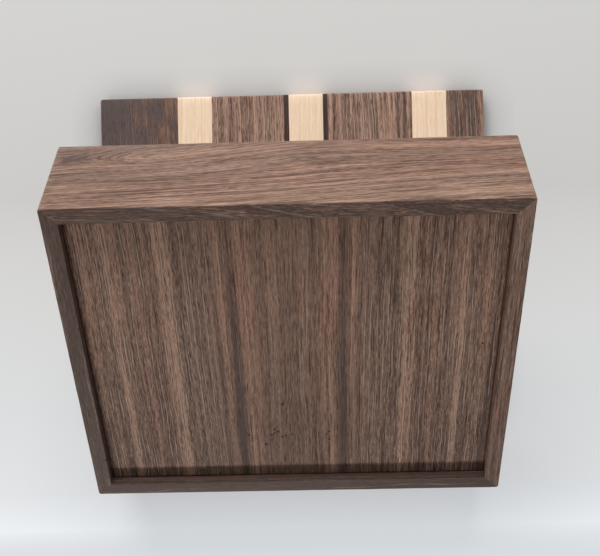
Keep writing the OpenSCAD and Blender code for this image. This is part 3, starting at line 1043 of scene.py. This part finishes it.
def make_panel():
    """Bottom panel with its edges eased, and the dents and pecks in its underside."""
    low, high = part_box("bottom_panel")
    panel = add_block("bottom_panel_board", low, high)
    open_mesh(panel)
    round_edges(lambda edge: True, PANEL_EASE, 2)
    for x, y, width in BRUISES:
        for axis, place in ((0, x), (1, y)):
            slice_at(axis, place - width / 2)
            slice_at(axis, place + width / 2)

        def in_square(face):
            middle = face.calc_center_median()
            return all_at(2, low.z)(face) and abs(middle.x - x) < width / 2 and abs(middle.y - y) < width / 2

        def in_bruise(vertex):
            if abs(vertex.co.z - low.z) >= 10 * NEAR:
                return False
            return math.hypot(vertex.co.x - x, vertex.co.y - y) < width / 5

        pick("faces", in_square)
        bpy.ops.mesh.subdivide(number_cuts=3)
        pick("verts", in_bruise)
        bpy.ops.transform.translate(value=(0.0, 0.0, BRUISE_DEPTH))
    close_mesh()
    return panel


def copy_node(node, name):
    """Copy of a CAD node's mesh as a piece of its own, its loose triangles merged into faces."""
    piece = bpy.data.objects.new(name, frame["nodes"][node].data.copy())
    bpy.context.collection.objects.link(piece)
    open_mesh(piece)
    bpy.ops.mesh.select_all(action="SELECT")
    bpy.ops.mesh.remove_doubles(threshold=NEAR)
    bpy.ops.mesh.dissolve_limited(angle_limit=math.radians(1.0))
    close_mesh()
    return piece


def ease_all(piece, radius):
    """Rounds all the sharp edges of a piece."""
    limit = {"limit_method": "ANGLE", "angle_limit": math.radians(40.0)}
    apply_modifier(piece, "BEVEL", width=radius, segments=2, **limit)


# Share of a pin's radius that is rounded at its ends
PIN_DOME = 0.5


def make_pin(node):
    """Hinge pin with domed ends."""
    low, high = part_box(node)
    radius = (high.y - low.y) / 2
    pin = add_rod(node + "_rod", (low + high) / 2, radius, high.x - low.x, ALONG_X, sides=32)
    open_mesh(pin)
    round_edges(lambda edge: all_at(0, low.x)(edge) or all_at(0, high.x)(edge), radius * PIN_DOME, 4)
    close_mesh()
    return pin


# Radius of a screw head's edge, and the tip's share of the shank's width
SCREW_EDGE, SCREW_TIP = 0.00015, 0.05


def make_screw():
    """Countersunk wood screw with a slotted head, its top at the origin."""
    low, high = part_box("box_leaf_screws")
    shank = bpy.context.scene.keepsake_sizes.shank / 2
    # radius and depth of the head, which is twice as wide as the shank
    head, drop = 2 * shank, shank
    length = high.z - low.z
    screw = add_rod("screw", (0.0, 0.0, -(drop + length - head) / 2), shank, length - head - drop, sides=24)
    open_mesh(screw)
    pick("faces", all_at(2, -drop))
    bpy.ops.mesh.extrude_region_move(TRANSFORM_OT_translate={"value": (0.0, 0.0, drop)})
    bpy.ops.transform.resize(value=(head / shank, head / shank, 1.0))
    pick("faces", all_at(2, head - length))
    bpy.ops.mesh.extrude_region_move(TRANSFORM_OT_translate={"value": (0.0, 0.0, -head)})
    bpy.ops.transform.resize(value=(SCREW_TIP, SCREW_TIP, 1.0))
    round_edges(all_at(2, 0.0), SCREW_EDGE, 2)
    close_mesh()
    slot = add_block("slot", (-head, -shank / 4, -drop / 2), (head, shank / 4, drop))
    cut_away(screw, slot)
    return screw


class KeepsakeOperator(bpy.types.Operator):
    """What the operators share"""

    bl_options = {"REGISTER", "UNDO"}


class KEEPSAKE_OT_walls(KeepsakeOperator):
    """Make the four walls"""

    bl_idname = "keepsake.walls"
    bl_label = "Walls"

    def execute(self, context):
        for seed, name in enumerate(("front_wall", "back_wall", "left_wall", "right_wall"), 3):
            low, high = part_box(name)
            turn = SIDE_WALL_TURN if name in ("left_wall", "right_wall") else LONG_WALL_TURN
            look = FRONT_LOOK if name == "front_wall" else {"tone": plain_tone_and_lip_shade(name)}
            words = name.replace("_", " ")
            material = walnut_material("Walnut " + words, turn, low, Seed=seed, **WALL_LOOK, **look)
            wall = make_wall(name)
            if name == "back_wall":
                cut_leaves(wall, low.x, high.x)
            smooth(wall)
            stand_for(wall, name, material)
        return {"FINISHED"}


class KEEPSAKE_OT_panel(KeepsakeOperator):
    """Make the bottom panel"""

    bl_idname = "keepsake.panel"
    bl_label = "Bottom panel"

    def execute(self, context):
        start = axis_vector(2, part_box("bottom_panel")[0].z)
        material = walnut_material("Walnut veneer", PANEL_TURN, start, Seed=1, **VENEER_LOOK)
        panel = make_panel()
        smooth(panel)
        stand_for(panel, "bottom_panel", material)
        return {"FINISHED"}


class KEEPSAKE_OT_lid(KeepsakeOperator):
    """Make the nine strips of the lid"""

    bl_idname = "keepsake.lid"
    bl_label = "Lid"

    def execute(self, context):
        strips = sorted(name for name in frame["nodes"] if name.startswith("lid_") and "screws" not in name)
        lid_low, lid_high = extremes(corner for name in strips for corner in closed_box(name))
        for seed, name in enumerate(strips, 11):
            words = name.replace("_", " ")
            if "walnut" in name:
                look = {**LID_LOOK, **LID_LOOKS[name]}
                material = walnut_material("Walnut " + words, LID_TURN, HINGE, Seed=seed, **look)
            elif "maple" in name:
                material = maple_material("Maple " + words, LID_TURN, HINGE, seed)
            else:
                material = dark_wood_material("Dark " + words, LID_TURN, HINGE, seed)
            strip = make_strip(name, lid_low, lid_high, seed)
            low, high = closed_box(name)
            cut_leaves(strip, low.x, high.x, mirrored=True)
            strip.data.transform(swing(LID_ANGLE))
            smooth(strip)
            stand_for(strip, name, material)
        return {"FINISHED"}


class KEEPSAKE_OT_hinges(KeepsakeOperator):
    """Make the hinges' leaves and pins"""

    bl_idname = "keepsake.hinges"
    bl_label = "Hinges"

    def execute(self, context):
        sizes = context.scene.keepsake_sizes
        brass = brass_material("Brass")
        for node in [name for name in frame["nodes"] if "hinge" in name]:
            if node.endswith("pin"):
                piece = make_pin(node)
            else:
                piece = copy_node(node, node + "_plate")
                ease_all(piece, sizes.brass_ease)
            smooth(piece)
            stand_for(piece, node, brass)
        return {"FINISHED"}


class KEEPSAKE_OT_screws(KeepsakeOperator):
    """Make one hinge screw and set a copy in every hole"""

    bl_idname = "keepsake.screws"
    bl_label = "Hinge screws"

    def execute(self, context):
        brass = brass_material("Brass screws")
        screw = make_screw()
        smooth(screw)
        moves = {"box_leaf_screws": Matrix(), "lid_leaf_screws": swing(LID_ANGLE) @ MIRROR}
        places = [place for leaf in BOX_LEAVES for place in screw_places(leaf)]
        for count, place in enumerate(places, 1):
            for node, move in moves.items():
                copy = bpy.data.objects.new(f"{node}_{count}", screw.data.copy())
                context.collection.objects.link(copy)
                copy.data.transform(move @ Matrix.Translation(place))
                if move.is_negative:
                    copy.data.flip_normals()
                stand_for(copy, node, brass)
        bpy.data.objects.remove(screw)
        return {"FINISHED"}


# How far the floor and the table lie clear of the object, and the point that the lamps are aimed at
FLOOR_GAP, TABLE_GAP, LAMP_AIM = 0.0002, 0.0003, (0.0, 0.0, 0.08)


def add_sheet(name, place, turn, size, material):
    """Flat sheet of the stage."""
    bpy.ops.object.select_all(action="DESELECT")
    bpy.ops.mesh.primitive_plane_add(size=size, location=place, rotation=turn)
    sheet = settle(name)
    sheet.data.materials.append(material)


def add_lamp(name, towards, distance, width, height, power):
    """Soft lamp in a direction from the middle of the box."""
    direction = Vector(towards).normalized()
    place = Vector(LAMP_AIM) + distance * direction
    turn = direction.to_track_quat("Z", "Y").to_euler()
    bpy.ops.object.light_add(type="AREA", location=place, rotation=turn)
    lamp = bpy.context.object
    lamp.name = name
    lamp.data.shape = "RECTANGLE"
    lamp.data.size = width
    lamp.data.size_y = height
    lamp.data.energy = power


def one_sided(name, cover, also=None):
    """Sheet that only the camera sees, and only from its front."""
    material = bpy.data.materials.new(name)
    material.use_nodes = True
    tree = material.node_tree
    tree.nodes.clear()
    path = tree.nodes.new("ShaderNodeLightPath").outputs
    facing = minus(tree, 1.0, tree.nodes.new("ShaderNodeNewGeometry").outputs["Backfacing"])
    shown = times(tree, path["Is Camera Ray"], facing)
    if also:
        shown = times(tree, shown, also(tree, path))
    clear = tree.nodes.new("ShaderNodeBsdfTransparent")
    mix = new_node(tree, "ShaderNodeMixShader", {0: shown, 1: clear.outputs[0], 2: cover(tree)})
    end = tree.nodes.new("ShaderNodeOutputMaterial")
    tree.links.new(mix.outputs[0], end.inputs["Surface"])
    return material


def seen_through_floor(tree, path):
    """1 where the ray came up through the floor, or where the table lies under the floor."""
    crossed = calc(tree, "GREATER_THAN", path["Transparent Depth"], 0.5)
    height = split_xyz(tree, object_place(tree))[2]
    return calc(tree, "MAXIMUM", crossed, calc(tree, "LESS_THAN", height, 0.0))


# Glow of the table against the height in metres: from nothing to its fullest at the low side
GLOW_FROM, GLOW_TO, GLOW = 0.213, -0.02, 0.66
LOW_GLOW_FROM, LOW_GLOW_TO, LOW_GLOW = 0.050, 0.015, 0.10
GLOW_COLOUR = (0.95, 1.0, 1.05)
# Light that the maple strips' ends throw on the table: colour, how strong, how far, and where it runs out
# outside a strip's side and starts to fade inside it
BOUNCE_COLOUR, BOUNCE, BOUNCE_REACH = (1.0, 0.66, 0.55), 0.135, 0.018
BOUNCE_OUTSIDE, BOUNCE_INSIDE = 0.012, 0.008
# Distance over which the floor runs into the studio's colour
FLOOR_FADE_FROM, FLOOR_FADE_TO = 0.35, 1.3
# Painted shade on the table beside the object's edges: how far it reaches, how much is left of its colour there,
# high up and low down, and the openness at which it is darkest
CONTACT_SHADE_REACH, CONTACT_SHADE, CONTACT_SHADE_LOW, CONTACT_SHADE_OPEN = 0.03, 0.46, 0.22, 0.4
# Share of the table's colour at its high side, and at the height at which it is dullest
HIGH_SHARE, DULL_TO, DULL = 0.965, 0.02, 0.54


def lit_table(tree):
    """Pale cloth that takes the shadows, has painted shade beside the object's edges, and glows a little towards
    the low side as under a window.
    """
    stage = bpy.context.scene.keepsake_stage
    height = split_xyz(tree, object_place(tree))[2]
    # painted shade: an occlusion node darkens the table's colour beside the object's edges
    nearby = new_node(tree, "ShaderNodeAmbientOcclusion", {"Distance": CONTACT_SHADE_REACH}, samples=8)
    least = remap(tree, height, GLOW_FROM, DULL_TO, CONTACT_SHADE, CONTACT_SHADE_LOW)
    share = remap(tree, height, GLOW_FROM, DULL_TO, HIGH_SHARE, DULL, smooth=True)
    share = times(tree, share, remap(tree, nearby.outputs["AO"], CONTACT_SHADE_OPEN, 1.0, least, 1.0))
    colour = blend_colour(tree, share, (0, 0, 0), stage.table)
    cover = new_node(tree, "ShaderNodeBsdfDiffuse", {"Color": colour}).outputs[0]
    strength = remap(tree, height, GLOW_FROM, GLOW_TO, 0.0, GLOW)
    strength = plus(tree, strength, remap(tree, height, LOW_GLOW_FROM, LOW_GLOW_TO, 0.0, LOW_GLOW))
    for tint, power in ((GLOW_COLOUR, strength), (BOUNCE_COLOUR, maple_bounce(tree))):
        glow = new_node(tree, "ShaderNodeEmission", {"Color": (*tint, 1), "Strength": power})
        cover = new_node(tree, "ShaderNodeAddShader", {0: cover, 1: glow.outputs[0]}).outputs[0]
    return cover


def maple_bounce(tree):
    """Strength of the light beside the ends of the lid's maple strips."""
    x, _, height = split_xyz(tree, object_place(tree))
    total = 0.0
    for node in ("lid_maple_1", "lid_maple_2", "lid_maple_3"):
        low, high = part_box(node)
        beside = calc(tree, "ABSOLUTE", minus(tree, x, (low.x + high.x) / 2))
        half = (high.x - low.x) / 2
        strength = remap(tree, beside, half + BOUNCE_OUTSIDE, half - BOUNCE_INSIDE, smooth=True)
        total = plus(tree, total, strength)
    beyond = calc(tree, "ABSOLUTE", minus(tree, height, high.z))
    return times(tree, total, remap(tree, beyond, BOUNCE_REACH, 0.0, 0.0, BOUNCE, smooth=True))


def plain_floor(tree):
    """Pale floor that takes the shadows, and far off runs into the studio's own colour."""
    stage = bpy.context.scene.keepsake_stage
    away = new_node(tree, "ShaderNodeVectorMath", {0: object_place(tree)}, operation="LENGTH")
    distance = away.outputs["Value"]
    diffuse = new_node(tree, "ShaderNodeBsdfDiffuse", {"Color": (*stage.table, 1)})
    studio = new_node(tree, "ShaderNodeEmission", {"Color": (*stage.studio, 1), "Strength": 1.0})
    far = remap(tree, distance, FLOOR_FADE_FROM, FLOOR_FADE_TO, smooth=True)
    mix = new_node(tree, "ShaderNodeMixShader", {0: far, 1: diffuse.outputs[0], 2: studio.outputs[0]})
    return mix.outputs[0]


# Lamps: direction, distance, width and height in metres, and the setting that gives the power
LAMPS = {
    "Top lamp": ((-0.10, -0.99, -0.05), 3.0, 2.0, 1.2, "top_lamp"),
    "Low lamp": ((-0.22, 0.82, -0.53), 5.0, 2.6, 0.5, "low_lamp"),
    "Upper lamp": ((-0.3, 0.1, 0.95), 3.0, 2.0, 2.0, "upper_lamp"),
    "Right lamp": ((0.9, 0.05, 0.42), 3.0, 2.0, 1.2, "side_lamps"),
    "Left lamp": ((-0.9, 0.05, 0.42), 3.0, 2.0, 1.2, "side_lamps"),
}


def make_world(stage):
    """Even light all round, and the studio's colour where the camera or a gloss sees past the table."""
    world = bpy.data.worlds.new("Studio")
    world.use_nodes = True
    tree = world.node_tree
    tree.nodes.clear()
    ambient = new_node(tree, "ShaderNodeBackground", {"Color": (*WHITE, 1), "Strength": stage.ambient})
    studio = new_node(tree, "ShaderNodeBackground", {"Color": (*stage.studio, 1), "Strength": 1.0})
    path = tree.nodes.new("ShaderNodeLightPath").outputs
    seen = calc(tree, "MAXIMUM", path["Is Camera Ray"], path["Is Glossy Ray"])
    mix = new_node(tree, "ShaderNodeMixShader", {0: seen, 1: ambient.outputs[0], 2: studio.outputs[0]})
    tree.links.new(mix.outputs[0], tree.nodes.new("ShaderNodeOutputWorld").inputs["Surface"])
    return world


def add_camera(view):
    """Camera with the photograph's focal length and optical axis."""
    bpy.ops.object.camera_add(location=view.place, rotation=view.turn)
    camera = bpy.context.object
    camera.name = "Camera"
    camera.data.sensor_width = SENSOR_W
    camera.data.lens = view.focal_px * SENSOR_W / IMAGE_W
    camera.data.shift_x = (IMAGE_W / 2 - view.axis_x_px) / IMAGE_W
    camera.data.shift_y = (view.axis_y_px - IMAGE_H / 2) / IMAGE_W
    camera.data.clip_start = 0.01
    return camera


class KEEPSAKE_OT_stage(KeepsakeOperator):
    """Make the table under the lid, the floor under the box, the lamps and the camera"""

    bl_idname = "keepsake.stage"
    bl_label = "Stage"

    def execute(self, context):
        scene = context.scene
        stage = scene.keepsake_stage
        lid_normal = Vector((0.0, math.sin(LID_ANGLE), math.cos(LID_ANGLE)))
        corners = frame["nodes"]["lid_walnut_1"].data.vertices
        outer = max((corner.co - HINGE).dot(lid_normal) for corner in corners)
        floor = one_sided("Floor", plain_floor)
        add_sheet("floor", axis_vector(2, -FLOOR_GAP), (0.0, 0.0, 0.0), stage.reach, floor)
        # the table is the plane of the lid's outer face, seen from the box's side
        table = one_sided("Table", lit_table, seen_through_floor)
        place = HINGE + lid_normal * (outer + TABLE_GAP)
        add_sheet("table", place, (math.pi - LID_ANGLE, 0.0, 0.0), stage.reach, table)
        for name, (*numbers, power) in LAMPS.items():
            add_lamp(name, *numbers, getattr(stage, power))
        scene.world = make_world(stage)
        scene.view_settings.view_transform = "Standard"
        scene.camera = add_camera(scene.keepsake_view)
        return {"FINISHED"}


OPERATORS = (
    KEEPSAKE_OT_walls, KEEPSAKE_OT_panel, KEEPSAKE_OT_lid,
    KEEPSAKE_OT_hinges, KEEPSAKE_OT_screws, KEEPSAKE_OT_stage,
)


class KEEPSAKE_PT_panel(bpy.types.Panel):
    """Buttons that make the box's pieces and the stage"""

    bl_label = "Keepsake Box"
    bl_space_type = "VIEW_3D"
    bl_region_type = "UI"
    bl_category = "Keepsake Box"

    def draw(self, context):
        for operator in OPERATORS:
            self.layout.operator(operator.bl_idname)


GROUPS = {
    "keepsake_sizes": KeepsakeSizes,
    "keepsake_walnut": KeepsakeWalnut,
    "keepsake_pale": KeepsakePale,
    "keepsake_view": KeepsakeView,
    "keepsake_stage": KeepsakeStage,
}


def register():
    for cls in (*GROUPS.values(), *OPERATORS, KEEPSAKE_PT_panel):
        bpy.utils.register_class(cls)
    for name, cls in GROUPS.items():
        setattr(bpy.types.Scene, name, bpy.props.PointerProperty(type=cls))


def unregister():
    for name in GROUPS:
        delattr(bpy.types.Scene, name)
    for cls in reversed((*GROUPS.values(), *OPERATORS, KEEPSAKE_PT_panel)):
        bpy.utils.unregister_class(cls)


def main():
    """Makes every piece and the stage."""
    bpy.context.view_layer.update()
    register()
    make_grain_group()
    bpy.ops.object.select_all(action="DESELECT")
    for operator in OPERATORS:
        section, name = operator.bl_idname.split(".")
        getattr(getattr(bpy.ops, section), name)()


if __name__ == "__main__":
    main()
